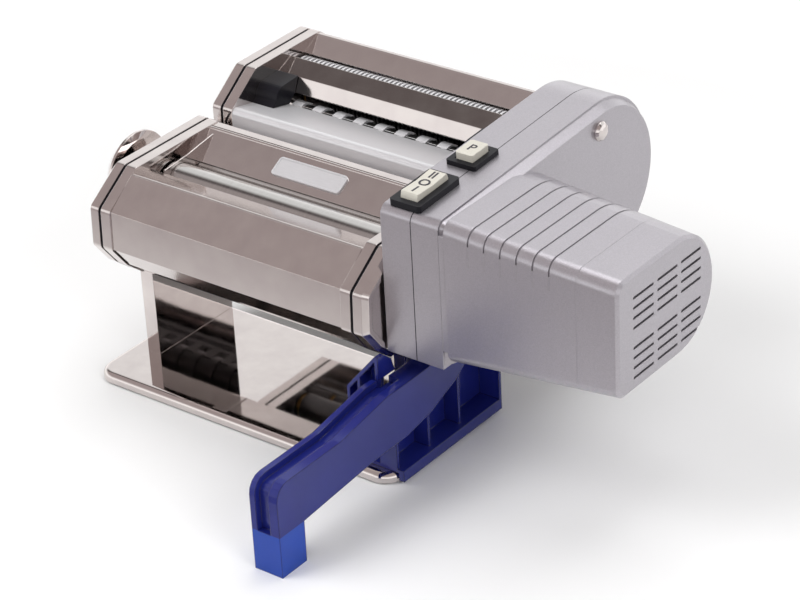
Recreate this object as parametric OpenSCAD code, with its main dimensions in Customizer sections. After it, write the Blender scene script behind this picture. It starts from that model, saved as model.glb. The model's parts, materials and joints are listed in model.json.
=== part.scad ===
// Electric pasta maker: sheet rollers with a thickness knob, a cutter head, and a braced motor unit
// Millimetres. X runs from the knob to the motor, -Y is the front, Z is up.
// The origin is the centre of the base, on the table.

/* [Base] */
// Length of the base pan along X
base_l = 228; // [215:1:250]
// Depth of the base pan along Y
base_w = 107; // [106:1:130]
// Height of the top of the pan over the table
base_h = 7.3; // [6.8:0.1:12]
// Sheet thickness of the pan
base_sheet = 0.9; // [0.6:0.1:1.4]
// Radius of the pan's corners in plan
base_corner_r = 13; // [9:0.5:20]
// Radius along the top edge of the pan
base_edge_r = 4.3; // [3:0.1:5]
// Height of the skirt's lower edge over the table
base_gap = 1.2; // [0.5:0.1:2]
// Diameter of each rubber foot
foot_d = 14; // [10:1:20]
// Distance of each foot's axis from the pan's edges
foot_inset = 16; // [14:1:22]

/* [Legs] */
// Height of the legs between the pan and the rolling head
leg_h = 65.2; // [60:0.2:80]
// Sheet thickness of the legs
leg_sheet = 1.5; // [1:0.1:2]
// Distance of each leg's inner face from the centre
leg_face = 91.3; // [89:0.1:92]
// Distance of the legs' front flange in front of the centre
leg_front = 18; // [12:0.5:22]
// Distance of the legs' back flange behind the centre
leg_back = 51; // [45:0.5:51]
// Depth of the leg channel
leg_flange = 9.6; // [7:0.1:9.6]
// Slanted lip along the left leg's flanges, measured along X
leg_lip = 5; // [3:0.5:6]
// Diameter of the leg screws' heads
leg_screw_d = 7; // [5:0.5:8]

/* [Rolling head] */
// Clear width between the end frames
clear_w = 172; // [165:1:176]
// Depth of each end frame along X
frame_d = 7; // [6:0.5:8]
// Sheet thickness of the end frames
frame_sheet = 2; // [1.5:0.1:2.2]
// Thickness of the dark spacer between frame and cap
spacer_t = 2; // [1:0.1:3]
// Depth of each end cap along X
cap_d = 9; // [8:0.5:12]
// Wall of the end caps
cap_wall = 1.5; // [1:0.1:1.8]
// Bevel round the outer face of the end caps
cap_bevel = 3; // [1:0.5:4]
// Corner radius of frames and caps
frame_corner_r = 4; // [2:0.5:5]
// Height of the rolling head over the legs
head_rise = 68.5; // [68:0.5:72]
// Farthest reach of the head in front of the centre
head_nose = 55; // [52:0.5:58]
// Farthest reach of the head behind the centre
head_back = 56.5; // [55:0.5:60]
// Sheet thickness of covers and guides
cover_sheet = 0.8; // [0.6:0.1:1]
// Radius of the rolled hems
hem_r = 1.4; // [1:0.1:1.8]
// Diameter of the tie rods
tie_d = 7; // [5:0.5:8]

/* [Sheet rollers] */
// Radius of the two smooth rollers
roll_r = 14; // [13.5:0.1:14.2]
// Distance of the nip between the rollers behind the centre
nip_y = 16.15; // [16:0.05:16.4]
// Height of the roller axes over the head's lower edge
roll_rise = 45.5; // [45:0.5:46]
// Gap between the rollers at the thinnest setting
roll_gap = 0.3; // [0.2:0.05:0.5]
// How far the adjustable roller opens
roll_open = 2.6; // [2:0.1:2.8]
// Radius of the roller journals
journal_r = 6; // [5:0.25:6.5]
// Outer radius of the roller bushes
bush_r = 9; // [8:0.5:10]
// Radial running clearance of shafts
run_fit = 0.05; // [0.03:0.01:0.08]
// Width of the gears beside the rollers
side_gear_w = 5.5; // [4:0.5:5.5]

/* [Badge] */
// Width of the bare badge plate
badge_w = 51; // [40:1:60]
// Height of the bare badge plate
badge_h = 13.1; // [10:0.1:14]
// Thickness of the badge plate
badge_t = 1.2; // [0.8:0.1:1.5]

/* [Thickness knob] */
// Outer radius of the knob
knob_r = 26.4; // [22:0.2:28]
// Thickness of the knob's dished disc at its hub
knob_t = 16; // [14:0.5:18]
// Radius of the knob's spindle
spindle_r = 4; // [3:0.25:5]
// Turn of the knob from the thinnest to the thickest setting
knob_turn = 240; // [180:10:300]
// Smallest radius of the cam on the spindle
cam_r = 6.5; // [6:0.1:7]

/* [Cutter head] */
// Gap between the rolling head and the cutter head
rail_gap = 3.2; // [2.5:0.1:5]
// Outer radius of the cutter discs
cutter_r = 10.5; // [10.3:0.05:10.6]
// Distance between the axes of a cutter pair
cutter_pair = 20.4; // [20.3:0.05:20.6]
// Radius between the cutter discs
cutter_core_r = 9.2; // [8.6:0.1:9.4]
// Radius of the cutter journals
cutter_journal_r = 5; // [4:0.25:5.5]
// Pitch of the wide cutter discs
wide_pitch = 15.6; // [15:0.1:16]
// Number of wide discs on each shaft
wide_count = 8; // [6:1:8]
// Pitch of the fine cutter discs
fine_pitch = 3.2; // [3:0.1:3.4]
// Number of fine discs on each shaft
fine_count = 42; // [30:1:42]
// Clearance at each side of a cutter disc
disc_clear = 0.15; // [0.1:0.01:0.2]

/* [Gearbox] */
// Gap between the end caps and the gearbox
unit_gap = 1; // [0.6:0.1:2]
// Depth of the inner shell along X
inner_shell_d = 20.5; // [20:0.5:24]
// Depth of the outer shell along X
outer_shell_d = 24.5; // [24:0.5:30]
// Wall of the gearbox shells
shell_wall = 2.5; // [1.8:0.1:3]
// Radius of the gearbox's round back end
shell_r = 50.3; // [50:0.1:51]
// Distance of the round end's centre behind the origin
shell_back = 118; // [117:0.5:120]
// Distance of the gearbox's front face in front of the origin
shell_front = 38; // [36:0.5:40]
// Slope of the gearbox's top in degrees
top_slope = 3.3; // [2.5:0.1:4]
// Radius of the gearbox's front top edge
shell_edge_r = 6; // [4:0.5:8]

/* [Motor housing] */
// Length of the motor housing along X
housing_l = 80.7; // [76:0.1:90]
// Length of the motor end cover along X
cover_l = 25.6; // [22:0.1:30]
// Wall of the motor housing
housing_wall = 2.2; // [1.6:0.1:2.6]
// Number of grooves over the top of the housing
groove_count = 6; // [3:1:6]
// Distance between the grooves
groove_pitch = 10.2; // [9:0.1:11]
// Width of each groove
groove_w = 1; // [0.6:0.1:1.4]
// Rows of air slots in each of the two groups
vent_rows = 4; // [2:1:4]
// Columns of air slots
vent_columns = 3; // [2:1:3]
// Height of each air slot
vent_slot_h = 1.7; // [1.2:0.1:2]
// Length of each air slot
vent_slot_l = 20; // [16:0.5:21]

/* [Drive] */
// Radius of the motor can
can_r = 29; // [26:0.5:31]
// Length of the motor can
can_l = 66; // [55:1:70]
// Teeth on each large drive gear
drive_teeth = 48; // [48:4:48]
// Teeth on the pinions
pinion_teeth = 12; // [12:4:12]
// Teeth on the large gear of the reduction pair
reduction_teeth = 36; // [36:4:36]
// Teeth on the gears that link the two cutter pairs
link_teeth = 32; // [32:4:32]
// Play between gear teeth at the pitch line
backlash = 0.25; // [0.15:0.05:0.35]
// Pressure angle of the gear teeth in degrees
pressure_angle = 25; // [25:1:25]

/* [Switches] */
// Width of the rocker switch frame along X
rocker_frame_w = 21; // [19:0.5:23]
// Length of the rocker switch frame along Y
rocker_frame_l = 38; // [34:0.5:40]
// Height of the rocker switch frame
rocker_frame_h = 4; // [3:0.25:5]
// Swing of the rocker to each side in degrees
rocker_swing = 10; // [6:1:11]
// Width and length of the pulse switch frame
pulse_frame_w = 20; // [18:0.5:22]
// Length of the pulse switch frame along Y
pulse_frame_l = 24; // [22:0.5:27]
// Travel of the pulse button
pulse_travel = 2.5; // [1.5:0.1:2.8]

/* [Brace] */
// Distance of the brace arm's tip in front of the origin
arm_reach = 156; // [140:1:170]
// Height of the arm's foot
arm_foot_h = 26; // [20:1:30]
// Depth of the arm's foot along Y
arm_foot_l = 21; // [16:0.5:24]
// Width of the arm along X
arm_w = 19.5; // [18:0.5:21]
// Wall of the brace parts
brace_wall = 2.2; // [1.6:0.1:2.6]
// Inner face of the brace arm along X
arm_x = 98.5; // [98:0.5:99]
// Depth of the groove along the arm
arm_groove = 4; // [2:0.5:5]

/* [Hidden] */
$fn = 48;
cut = 1;
seat = 0.3;
round_steps = 3;

// Places along X
frame_x = clear_w/2;
spacer_x = frame_x + frame_d;
cap_x = spacer_x + spacer_t;
end_x = cap_x + cap_d;
gearbox_x = end_x + unit_gap;
seam_x = gearbox_x + inner_shell_d;
outer_x = seam_x + outer_shell_d;
cover_x = outer_x + housing_l;
motor_end_x = cover_x + cover_l;

// Places of the rolling head, as distances from the origin and heights over its lower edge
head_z = base_h + leg_h;
head_top = head_z + head_rise;
head_foot_front = 31;
head_foot_back = 52;
head_heel_rise = 12;
head_back_rise = 60;
head_top_back = 47;
head_top_front = 28;
head_brow = 54;
head_brow_rise = 50.5;
head_nose_rise = 25.5;
head_chin = 43.6;
head_chin_rise = 10.5;
head_loop = [
    [-head_foot_front, head_z], [head_foot_back, head_z],
    [head_back, head_z + head_heel_rise], [head_back, head_z + head_back_rise],
    [head_top_back, head_top], [-head_top_front, head_top],
    [-head_brow, head_z + head_brow_rise], [-head_nose, head_z + head_nose_rise],
    [-head_chin, head_z + head_chin_rise]];

// Rollers: axes, and the hopper plates above them
roll_z = head_z + roll_rise;
driven_axis = [nip_y + roll_gap/2 + roll_r, roll_z];
adjust_axis = [nip_y - roll_gap/2 - roll_r, roll_z];
barrel_x = frame_x - cap_wall;
side_gear_x = cap_x + seat;
hem_front_reach = 32.4;
hem_front_drop = 2.6;
hem_rear_reach = 38.6;
hem_rear_drop = 0.9;
front_plate_reach = 11;
front_plate_rise = 13.9;
rear_plate_reach = 17.4;
rear_plate_rise = 10.5;
hem_front = [-hem_front_reach, head_top - hem_front_drop];
front_plate_end = [-front_plate_reach, roll_z + front_plate_rise];
hem_rear = [hem_rear_reach, head_top - hem_rear_drop];
rear_plate_end = [rear_plate_reach, roll_z + rear_plate_rise];
badge_offset = 5.8;
guide_x = 80;
guide_step = 4.9;
guide_rise = 16;
scraper_w = 20;
scraper_drop = 4;

// Thickness setting: knob, spindle and cam
knob_gap = 0.8;
knob_pull = 3;
cam_x = cap_x + seat;
cam_t = 4;
cam_step = 5;
cam_rest = 25;
pin_r = 2;
carriage_reach = 27;

// Cutter head: outline as distances behind its front face and heights over the head's lower edge
cutter_y = head_back + rail_gap;
cutter_foot = 18.3;
cutter_foot_rise = 21.5;
cutter_front_low = 39.5;
cutter_front_high = 70.1;
cutter_shoulder = 25.1;
cutter_shoulder_rise = 88.2;
cutter_top_back = 88.3;
cutter_rise = 89;
cutter_back = 113.6;
cutter_foot_back = 86.3;
cutter_back_low = 41.5;
cutter_loop = [
    [cutter_y + cutter_foot, head_z + cutter_foot_rise],
    [cutter_y + cutter_foot_back, head_z + cutter_foot_rise],
    [cutter_y + cutter_back, head_z + cutter_back_low],
    [cutter_y + cutter_back, head_z + cutter_front_high],
    [cutter_y + cutter_top_back, head_z + cutter_rise],
    [cutter_y + cutter_shoulder, head_z + cutter_shoulder_rise],
    [cutter_y, head_z + cutter_front_high],
    [cutter_y, head_z + cutter_front_low]];

// Cutter axes: each rear shaft lies on a slant behind and below its front shaft
wide_tilt = -54;
fine_tilt = -49;
wide_front_reach = 36.3;
wide_front_rise = 52;
fine_front_reach = 64.3;
fine_front_rise = 67;
wide_front_axis = [cutter_y + wide_front_reach, head_z + wide_front_rise];
wide_rear_axis = wide_front_axis + cutter_pair*[cos(wide_tilt), sin(wide_tilt)];
fine_front_axis = [cutter_y + fine_front_reach, head_z + fine_front_rise];
fine_rear_axis = fine_front_axis + cutter_pair*[cos(fine_tilt), sin(fine_tilt)];

// Guides, bar and combs of the cutter head
rail_h = 18;
hem_big = 4;
guide_roll_rise = 66.5;
guide_roll_turn = 76;
guide_reach = 35.8;
guide_end_rise = 63.7;
apron_rise = 45.5;
bar_reach = 42.1;
bar_foot_rise = 69;
bar_face_l = 9.9;
bar_face_tilt = 65;
bar_top_l = 14.1;
bar_top_tilt = 23;
bar_lip = 3;
rear_hem_reach = 86.3;
rear_end_reach = 72.8;
rear_end_rise = 80.3;
cheek_l = 16;
cheek_w = 16;
comb_back = 3;

// Gearbox outline
shell_mid_rise = 13.8;
shell_mid = roll_z + shell_mid_rise;
shell_bottom = shell_mid - shell_r;
ridge_d = 6;
ridge_step = 1.5;
collar_r = 11.5;
hub_r = 5.5;
screw_r = 3;
top_screw_reach = 8;
low_screw_reach = 23;
low_screw_rise = 12.5;
screw_places = [[shell_back - top_screw_reach, roll_z + shell_r],
    [shell_back - low_screw_reach, shell_bottom + low_screw_rise]];
gland_r = 5;
gland_inset = 12;
gland_x = seam_x + gland_inset;
gland_y = 100;

// Motor housing section: centre and radius of its round back, and how they taper along X
housing_y = 27;
housing_rise = 11.5;
housing_mid = roll_z + housing_rise;
housing_r = 44;
housing_taper = 8.5;
housing_rake = 5;
housing_edge_r = 8;
groove_start = 12.9;
cover_edge = 2;
vent_pitch = 6.1;
vent_column_pitch = 23.5;
vent_y = 15.5;
vent_drop = 3;
vent_z = housing_mid - vent_drop;

// Gear centres in the gearbox: the motor drives a reduction pair, that drives the roller gear
drive_pitch_r = norm(wide_front_axis - driven_axis)/2;
drive_module = 2*drive_pitch_r/drive_teeth;
reduction_side = 162.2;
reduction_reach = drive_pitch_r*(1 + pinion_teeth/drive_teeth);
reduction_axis = driven_axis + reduction_reach*[cos(reduction_side), sin(reduction_side)];
reduction_pitch = 24;
motor_side = -1.4;
motor_axis = reduction_axis + reduction_pitch*[cos(motor_side), sin(motor_side)];
reduction_module = 2*reduction_pitch/(pinion_teeth + reduction_teeth);
gear_w = 6;
link_w = 5;
axle_r = 3;
hex_r = 4.5;
cutter_hex_r = 3.5;
shaft_r = 2.5;
motor_boss_r = 8;
can_wall = 12;
fan_gap = 7;
fan_x = outer_x + can_l + fan_gap;
fan_l = 9;
fan_r = 24;
fan_blades = 8;
fan_pitch = 35;

// Switches: places along the sloping top, and the parts under their frames
switch_inset = 6;
switch_x = seam_x - switch_inset;
rocker_y = 22.3;
pulse_y = 67;
collar_in = 2;
collar_h = 3;
switch_depth = 12;
rocker_w = 11.5;
rocker_r = 14.4;
rocker_pivot_h = 2;
rocker_low = 3.5;
rocker_high = 5;
rocker_dip = 2*rocker_r*tan(rocker_swing/3);
rocker_pin_r = 1.2;
rocker_pin_l = 1.2;
pulse_frame_h = 3;
pulse_w = 12;
pulse_l = 16;

// Brace
bracket_x = 80;
bracket_front = 46;
bracket_back = 50;
bracket_rise = 47.5;
bracket_depth = 10;
horn_rise = 72.5;
shelf_rise = 35;
web_x = 101;
web_t = 2.5;
web_low = 42.7;
web_run = 38;
rib_pitch = 29.5;
groove_inset = 4;
groove_x0 = arm_x + groove_inset;
groove_wide = 9;
arm_tip = 10;
// The arm's underside and top, as shares of its length from tip to end and of the gearbox's height
arm_back = 55;
arm_low_shares = [[0.384, 0.374], [0.55, 0.38], [0.654, 0.429], [0.768, 0.54], [0.81, 0.613], [1, 0.932]];
arm_high_shares = [[1, 1], [0.763, 1], [0.692, 0.822], [0.645, 0.798], [0.469, 0.798], [0.265, 0.712]];
link_module = norm(fine_rear_axis - wide_front_axis)/link_teeth;
side_teeth = 12;
roll_gear_module = norm(driven_axis - adjust_axis)/side_teeth;
cutter_gear_module = cutter_pair/side_teeth;
addendum_share = 0.8;
dedendum_share = 1.05;
drive_tip_r = drive_pitch_r + addendum_share*drive_module;

// Vector and outline helpers
function unit(v) = v/norm(v);
function left_of(a, b) = let (d = unit(b - a)) [-d.y, d.x];
function mitre(a, b, c, t) = let (m = left_of(a, b), n = left_of(b, c)) b + t*(m + n)/(1 + m*n);
function turn_of(a, b) = atan2(b.y - a.y, b.x - a.x);

// A closed loop moved inwards by t
function inset(p, t) = let (n = len(p))
    [for (i = [0:n - 1]) mitre(p[(i + n - 1)%n], p[i], p[(i + 1)%n], t)];

// An open path moved to its left by t
function beside(p, t) = let (n = len(p) - 1)
    [for (i = [0:n]) i == 0 ? p[0] + t*left_of(p[0], p[1])
        : i == n ? p[n] + t*left_of(p[n - 1], p[n])
        : mitre(p[i - 1], p[i], p[i + 1], t)];

// The arc that rounds corner b of the path a, b, c
function corner(a, b, c, r, n) = let (
    u = unit(a - b), v = unit(c - b), w = acos(u*v),
    m = b + unit(u + v)*r/sin(w/2), p = b + u*r/tan(w/2),
    s = sign(cross(b - a, c - b)), g = turn_of(m, p))
    [for (k = [0:n]) m + r*[cos(g + s*k*(180 - w)/n), sin(g + s*k*(180 - w)/n)]];

// A loop with every corner rounded
function rounded(p, r, n = round_steps) = let (c = len(p))
    [for (i = [0:c - 1]) each corner(p[(i + c - 1)%c], p[i], p[(i + 1)%c], r, n)];

// Points on an arc
function arc(m, r, a, b, n) = [for (k = [0:n]) m + r*[cos(a + k*(b - a)/n), sin(a + k*(b - a)/n)]];

// Outline of a frame or cap, moved inwards by t
function plate(loop, t) = rounded(inset(loop, t), frame_corner_r);

// Involute gears
function roll_angle(rb, r) = let (a = acos(min(1, rb/r))) tan(a)*180/PI - a;

function tooth(n, m, play) = let (
    r = n*m/2, rb = r*cos(pressure_angle), root = r - dedendum_share*m, tip = r + addendum_share*m,
    half = 90/n - play/4/r*180/PI + roll_angle(rb, r),
    flank = [for (k = [0:3]) let (q = max(rb, root) + k*(tip - max(rb, root))/3)
        [q, half - roll_angle(rb, q)]])
    concat([[root, half]], flank, [for (k = [3:-1:0]) [flank[k][0], -flank[k][1]]], [[root, -half]]);

// Tooth k of a gear points to the angle start + k steps
module gear_outline(n, m, start) {
    t = tooth(n, m, backlash);
    polygon([for (k = [0:n - 1], q = t) let (a = start + k*360/n - q[1]) q[0]*[cos(a), sin(a)]]);
}

// Start angle of a gear with n2 teeth, seen at the angle a from the gear that it meshes with
function mesh_start(a, n1, start1, n2) = a + 180 + (n1*(a - start1) - 180)/n2;

drive_start = 0;
wide_start = mesh_start(turn_of(driven_axis, wide_front_axis), drive_teeth, drive_start, drive_teeth);
pinion_start = mesh_start(turn_of(driven_axis, reduction_axis), drive_teeth, drive_start, pinion_teeth);
rotor_start = mesh_start(turn_of(reduction_axis, motor_axis), reduction_teeth, 0, pinion_teeth);
link_start = mesh_start(turn_of(wide_front_axis, fine_rear_axis), link_teeth, 0, link_teeth);
roll_gear_start = mesh_start(180, side_teeth, 0, side_teeth);
wide_gear_start = mesh_start(wide_tilt, side_teeth, 0, side_teeth);
fine_gear_start = mesh_start(fine_tilt, side_teeth, 0, side_teeth);

// Solids drawn in the YZ plane and run along X, or drawn in the XZ plane and run along Y
module along_x(a, b) {
    translate([a, 0, 0]) rotate([90, 0, 90]) linear_extrude(b - a) children();
}
module along_y(a, b) {
    translate([0, b, 0]) rotate([90, 0, 0]) linear_extrude(b - a) children();
}
module rod(a, b, p, r) {
    translate([a, p.x, p.y]) rotate([0, 90, 0]) cylinder(h = b - a, r = r);
}
// A turned piece: points are [radius, place along X]
module turned(p, points) {
    translate([0, p.x, p.y]) rotate([0, 90, 0]) rotate_extrude() polygon(points);
}
module gear(a, b, p, n, m, start) {
    translate([0, p.x, p.y]) along_x(a, b) gear_outline(n, m, start);
}
function reversed(p) = [for (i = [len(p) - 1:-1:0]) p[i]];
module sheet(path, t = cover_sheet) { polygon(concat(path, reversed(beside(path, t)))); }
module wide_sheet(path, t = cover_sheet) { along_x(-frame_x, frame_x) sheet(path, t); }
module wide_hem(p, r = hem_r) { rod(-frame_x, frame_x, p, r); }
module both_sides() { children(); mirror([1, 0, 0]) children(); }
module block(x0, x1, y0, y1, z0, z1) { translate([x0, y0, z0]) cube([x1 - x0, y1 - y0, z1 - z0]); }
module slot(l, w) {
    square([l - w, w], center = true);
    for (x = [w/2 - l/2, l/2 - w/2]) translate([x, 0]) circle(w/2, $fn = 16);
}
module round_square(l, w, r) {
    square([l - 2*r, w], center = true);
    square([l, w - 2*r], center = true);
    for (x = [r - l/2, l/2 - r], y = [r - w/2, w/2 - r]) translate([x, y]) circle(r);
}

// Base
module pan(l, w, r, e, z0, z1) {
    translate([0, 0, z0]) linear_extrude(z1 - e - z0) round_square(l, w, r);
    translate([0, 0, z1 - e - e]) linear_extrude(2*e) round_square(l - 2*e, w - 2*e, r - e);
    for (y = [e - w/2, w/2 - e])
        translate([r - l/2, y, z1 - e]) rotate([0, 90, 0]) cylinder(h = l - 2*r, r = e);
    for (x = [e - l/2, l/2 - e])
        translate([x, r - w/2, z1 - e]) rotate([-90, 0, 0]) cylinder(h = w - 2*r, r = e);
    for (x = [r - l/2, l/2 - r], y = [r - w/2, w/2 - r])
        translate([x, y, z1 - e]) rotate_extrude() translate([r - e, 0]) circle(e);
}
module base_plate() {
    color("silver") difference() {
        intersection() {
            pan(base_l, base_w, base_corner_r, base_edge_r, base_gap, base_h);
            block(-base_l, base_l, -base_w, base_w, base_gap, base_h);
        }
        block(base_sheet - base_l/2, base_l/2 - base_sheet, base_corner_r - base_w/2,
            base_w/2 - base_corner_r, -cut, base_h - base_edge_r);
        block(base_corner_r - base_l/2, base_l/2 - base_corner_r, base_sheet - base_w/2,
            base_w/2 - base_sheet, -cut, base_h - base_edge_r);
        translate([0, 0, -cut]) linear_extrude(base_h - base_sheet + cut)
            round_square(base_l - 2*base_edge_r, base_w - 2*base_edge_r, base_corner_r - base_edge_r);
    }
}
module base_feet() {
    foot_h = base_h - base_sheet;
    color("dimgray")
        for (x = [foot_inset - base_l/2, base_l/2 - foot_inset])
            for (y = [foot_inset - base_w/2, base_w/2 - foot_inset])
            translate([x, y, 0]) rotate_extrude() polygon([
                [0, base_gap], [foot_d/4, base_gap], [foot_d/4 + base_gap, 0], [foot_d/2 - base_gap, 0],
                [foot_d/2, base_gap], [foot_d/2, foot_h], [0, foot_h]]);
}

// Legs: channels of bent sheet, open outwards, with a foot flange on the pan
module leg(lip) {
    back = leg_back;
    front = -leg_front;
    x0 = leg_face;
    x1 = leg_face + leg_flange;
    lips = lip ? [[x1 + leg_lip, back - leg_lip]] : [];
    lips_front = lip ? [[x1 + leg_lip, front + leg_lip]] : [];
    translate([0, 0, base_h]) linear_extrude(leg_h)
        sheet(concat(lips, [[x1, back], [x0, back], [x0, front], [x1, front]], lips_front), leg_sheet);
    difference() {
        for (z = [base_h, head_z - leg_sheet])
            block(x0, x1, front, back, z, z + leg_sheet);
        for (y = [front + leg_flange, back - leg_flange])
            translate([x0 + leg_flange/2 + leg_sheet/2, y, base_h - cut])
                cylinder(h = leg_h, d = leg_screw_d/2);
    }
}
module leg_left() { color("silver") mirror([1, 0, 0]) leg(true); }
module leg_right() { color("silver") leg(false); }
module leg_screws() {
    color("gray") both_sides()
        for (y = [leg_flange - leg_front, leg_back - leg_flange])
            translate([leg_face + leg_flange/2 + leg_sheet/2, y, base_h + leg_sheet]) {
                cylinder(h = leg_screw_d/3, d = leg_screw_d);
                translate([0, 0, -leg_sheet]) cylinder(h = leg_sheet, d = leg_screw_d/2 - 2*run_fit);
            }
}

// End frames: pressed trays, open outwards
tie_places = [
    [-head_top_front - tie_d, roll_z - tie_d/2], [head_top_back - tie_d/2, head_z + 2*tie_d],
    [-head_top_front, head_z + 2*tie_d]];
carriage_front = adjust_axis.x - carriage_reach;
carriage_back = adjust_axis.x + bush_r;
module tray(loop) {
    difference() {
        along_x(frame_x, spacer_x) polygon(plate(loop, 0));
        along_x(frame_x + frame_sheet, spacer_x + cut) polygon(plate(loop, frame_sheet));
        children();
    }
}
module head_frame() {
    tray(head_loop) {
        rod(frame_x - cut, spacer_x, driven_axis, bush_r);
        block(frame_x - cut, frame_x + frame_sheet + cut,
            carriage_front - roll_open - seat, carriage_back + seat,
            roll_z - bush_r - seat, roll_z + bush_r + seat);
        for (p = tie_places) rod(frame_x - cut, spacer_x, p, tie_d/4 + run_fit);
    }
}
module head_frame_left() { color("rosybrown") mirror([1, 0, 0]) head_frame(); }
module head_frame_right() { color("rosybrown") head_frame(); }
module cutter_frame() {
    tray(cutter_loop)
        for (p = [wide_front_axis, wide_rear_axis, fine_front_axis, fine_rear_axis])
            rod(frame_x - cut, spacer_x, p, cutter_journal_r + cap_wall);
}
module cutter_frame_left() { color("rosybrown") mirror([1, 0, 0]) cutter_frame(); }
module cutter_frame_right() { color("rosybrown") cutter_frame(); }

// Dark spacers that show as a gap between the frames and the caps
module cap_spacers() {
    color("black") both_sides() for (loop = [head_loop, cutter_loop])
        along_x(spacer_x, cap_x) difference() {
            polygon(plate(loop, spacer_t/2));
            polygon(plate(loop, spacer_t + cap_bevel));
        }
}

// End caps: hollow, with a bevelled rim and a panel sunk into the outer face
module cap(loop) {
    recess = cap_wall/2;
    difference() {
        union() {
            along_x(cap_x, end_x - cap_bevel) polygon(plate(loop, 0));
            hull() {
                along_x(end_x - cap_bevel - cut, end_x - cap_bevel) polygon(plate(loop, 0));
                along_x(end_x - cut, end_x) polygon(plate(loop, cap_bevel));
            }
        }
        along_x(cap_x - cut, end_x - cap_bevel) polygon(plate(loop, cap_wall));
        along_x(end_x - cap_bevel - cut, end_x - cap_wall - recess)
            polygon(plate(loop, cap_wall + cap_bevel));
        along_x(end_x - recess, end_x + cut) polygon(plate(loop, 2*cap_bevel));
        children();
    }
}
module head_cap_left() {
    color("rosybrown") mirror([1, 0, 0]) cap(head_loop)
        rod(cap_x, end_x + cut, adjust_axis, spindle_r + run_fit);
}
module head_cap_right() {
    color("rosybrown") cap(head_loop) rod(cap_x, end_x + cut, driven_axis, bush_r);
}
module cutter_cap_left() { color("rosybrown") mirror([1, 0, 0]) cap(cutter_loop); }
module cutter_cap_right() {
    color("rosybrown") cap(cutter_loop) {
        rod(cap_x, end_x + cut, wide_front_axis, bush_r);
        rod(cap_x, end_x + cut, fine_rear_axis, bush_r);
    }
}

// Covers and hopper
cover_loop = inset(head_loop, cover_sheet);
module front_cover() {
    path = [hem_front, cover_loop[6], cover_loop[7], cover_loop[8], cover_loop[0],
        cover_loop[0] + [leg_front, 0]];
    color("rosybrown") { wide_sheet(path); wide_hem(hem_front + [hem_r, -hem_r]); }
}
module back_cover() {
    path = [cover_loop[1] - [leg_front, 0], cover_loop[1], cover_loop[2], cover_loop[3], cover_loop[4],
        [hem_rear.x + 2*hem_r, cover_loop[4].y]];
    color("rosybrown") wide_sheet(path);
}
module hopper_front_plate() {
    color("rosybrown") wide_sheet([front_plate_end, hem_front + [2*hem_r + cover_sheet, -hem_r]]);
}
module hopper_rear_plate() {
    color("rosybrown") { wide_sheet([hem_rear, rear_plate_end]); wide_hem(hem_rear + [hem_r/2, -hem_r/2]); }
}

// Places on the slanted back hopper plate: Y runs up along the plate, Z stands off it
module on_rear_plate() {
    translate([0, rear_plate_end.x, rear_plate_end.y])
        rotate([turn_of(rear_plate_end, hem_rear), 0, 0]) children();
}
module badge_plate() {
    rim = badge_t/2;
    color("gainsboro") on_rear_plate() translate([0, badge_h/2 + badge_offset, 0]) difference() {
        linear_extrude(badge_t) round_square(badge_w, badge_h, 2*badge_t);
        translate([0, 0, badge_t - rim/2]) linear_extrude(rim)
            round_square(badge_w - 2*badge_t, badge_h - 2*badge_t, badge_t);
    }
}
module hopper_guides() {
    open_axis = adjust_axis - [roll_open, 0];
    color("silver") both_sides() difference() {
        along_x(guide_x, guide_x + cover_sheet) polygon([
            front_plate_end + [cover_sheet, 0], [nip_y, roll_z + roll_r/3], rear_plate_end,
            hem_rear - [2*hem_r, 2*hem_r*tan(turn_of(rear_plate_end, hem_rear))],
            [driven_axis.x - roll_r + guide_step, roll_z + guide_rise + guide_step/2],
            [nip_y - guide_step, roll_z + guide_rise + cover_sheet],
            front_plate_end + [cover_sheet, hem_r]]);
        for (p = [driven_axis, adjust_axis, open_axis])
            rod(guide_x - cut, guide_x + cut + cover_sheet, p, roll_r + seat);
    }
}
module tie_rods() {
    neck = tie_d/4;
    nut_x = frame_x + frame_sheet;
    color("gray") for (p = tie_places) turned(p, [
        [0, -nut_x - neck], [tie_d/2, -nut_x - neck], [tie_d/2, -nut_x], [neck, -nut_x],
        [neck, -frame_x], [tie_d/2, -frame_x], [tie_d/2, frame_x], [neck, frame_x],
        [neck, nut_x], [tie_d/2, nut_x], [tie_d/2, nut_x + neck], [0, nut_x + neck]]);
}
module roller_scrapers() {
    edge = roll_z - roll_r - cover_sheet;
    color("silver") {
        wide_sheet([[adjust_axis.x - roll_open, edge], [adjust_axis.x - scraper_w, edge - scraper_drop]]);
        wide_sheet([[driven_axis.x + scraper_w, edge - scraper_drop], [driven_axis.x + roll_open, edge]]);
    }
}
module roller_bushes() {
    color("goldenrod") both_sides() turned(driven_axis, [
        [journal_r + run_fit, barrel_x + seat], [bush_r - run_fit + cap_wall, barrel_x + seat],
        [bush_r - run_fit + cap_wall, frame_x], [bush_r - run_fit, frame_x],
        [bush_r - run_fit, spacer_x - frame_sheet], [journal_r + run_fit, spacer_x - frame_sheet]]);
}

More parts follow.
